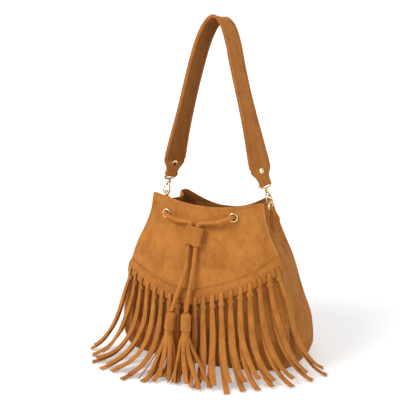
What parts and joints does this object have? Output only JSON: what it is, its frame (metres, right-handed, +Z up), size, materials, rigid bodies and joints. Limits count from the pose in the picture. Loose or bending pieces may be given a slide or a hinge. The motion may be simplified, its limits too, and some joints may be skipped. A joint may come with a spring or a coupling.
{
  "type": "fringed bucket bag",
  "caption": "Tan suede bucket bag with a knotted fringe round its front, a drawstring with tassels, and a shoulder strap on snap hooks.",
  "frame": {"origin": "middle of the bag's base, on the floor", "axes": "+X to the bag's right as seen from the front, -Y to the front with the drawstring, +Z up towards the strap"},
  "size_m": [0.3768, 0.2589, 0.5487],
  "materials": {
    "suede": "matt suede nap",
    "base_leather": "matt",
    "zip_tape": "woven",
    "gold_metal": "polished",
    "dark_metal": "dark plated"
  },
  "bodies": {
    "bag": {"front_panel": "suede", "back_panel": "suede", "left_gusset": "suede", "right_gusset": "suede", "bottom_panel": "base_leather", "fringe_band": "suede", "fringe_01": "suede", "fringe_02": "suede", "fringe_03": "suede", "fringe_04": "suede", "fringe_05": "suede", "fringe_06": "suede", "fringe_07": "suede", "fringe_08": "suede", "fringe_09": "suede", "fringe_10": "suede", "fringe_11": "suede", "fringe_12": "suede", "fringe_13": "suede", "fringe_14": "suede", "fringe_15": "suede", "fringe_16": "suede", "fringe_17": "suede", "fringe_18": "suede", "fringe_19": "suede", "left_eyelet": "gold_metal", "right_eyelet": "gold_metal", "left_tab": "suede", "right_tab": "suede", "drawstring": "suede", "left_tassel_head": "suede", "right_tassel_head": "suede", "left_tassel_skirt": "suede", "right_tassel_skirt": "suede", "pocket_zip_tape": "zip_tape"},
    "slider": {"cord_slider": "suede"},
    "strap": {"shoulder_strap": "suede", "left_strap_rivet": "gold_metal", "right_strap_rivet": "gold_metal", "left_swivel_eye": "gold_metal", "right_swivel_eye": "gold_metal"},
    "left_hook": {"left_snap_hook": "gold_metal"},
    "right_hook": {"right_snap_hook": "gold_metal"},
    "left_gate": {"left_hook_gate": "gold_metal"},
    "right_gate": {"right_hook_gate": "gold_metal"},
    "left_ring": {"left_d_ring": "gold_metal"},
    "right_ring": {"right_d_ring": "gold_metal"},
    "zip_slider": {"pocket_zip_slider": "dark_metal"},
    "zip_pull": {"pocket_zip_pull": "dark_metal"}
  },
  "joints": [
    {"name": "slider_slide", "type": "slide", "parent": "bag", "child": "slider", "axis": [0, -0.3324, -0.9431], "range_m": [0, 0.02]},
    {"name": "strap_swing", "type": "hinge", "parent": "bag", "child": "strap", "pos_m": [0, 0, 0.2535], "axis": [1, 0, 0], "range_deg": [-45, 45]},
    {"name": "left_hook_turn", "type": "hinge", "parent": "strap", "child": "left_hook", "pos_m": [-0.08461, 0, 0.27435], "axis": [0.2924, 0, 0.9563], "range_deg": [-15, 15]},
    {"name": "left_gate_open", "type": "hinge", "parent": "left_hook", "child": "left_gate", "pos_m": [-0.08871, 0, 0.27361], "axis": [0, -1, 0], "range_deg": [0, 20], "stiffness_Nm_per_rad": 0.02, "springref_deg": -11.46},
    {"name": "left_ring_tilt", "type": "hinge", "parent": "bag", "child": "left_ring", "pos_m": [-0.089, 0, 0.2535], "axis": [0, -1, 0], "range_deg": [-10, 6]},
    {"name": "right_hook_turn", "type": "hinge", "parent": "strap", "child": "right_hook", "pos_m": [0.08461, 0, 0.27435], "axis": [-0.2924, 0, 0.9563], "range_deg": [-15, 15]},
    {"name": "right_gate_open", "type": "hinge", "parent": "right_hook", "child": "right_gate", "pos_m": [0.08871, 0, 0.27361], "axis": [0, 1, 0], "range_deg": [0, 20], "stiffness_Nm_per_rad": 0.02, "springref_deg": -11.46},
    {"name": "right_ring_tilt", "type": "hinge", "parent": "bag", "child": "right_ring", "pos_m": [0.089, 0, 0.2535], "axis": [0, 1, 0], "range_deg": [-10, 6]},
    {"name": "zip_slide", "type": "slide", "parent": "bag", "child": "zip_slider", "axis": [1, 0, 0], "range_m": [0, 0.088]},
    {"name": "zip_pull_swing", "type": "hinge", "parent": "zip_slider", "child": "zip_pull", "pos_m": [-0.044, 0.04441, 0.222], "axis": [-1, 0, 0], "range_deg": [-5, 100]}
  ]
}
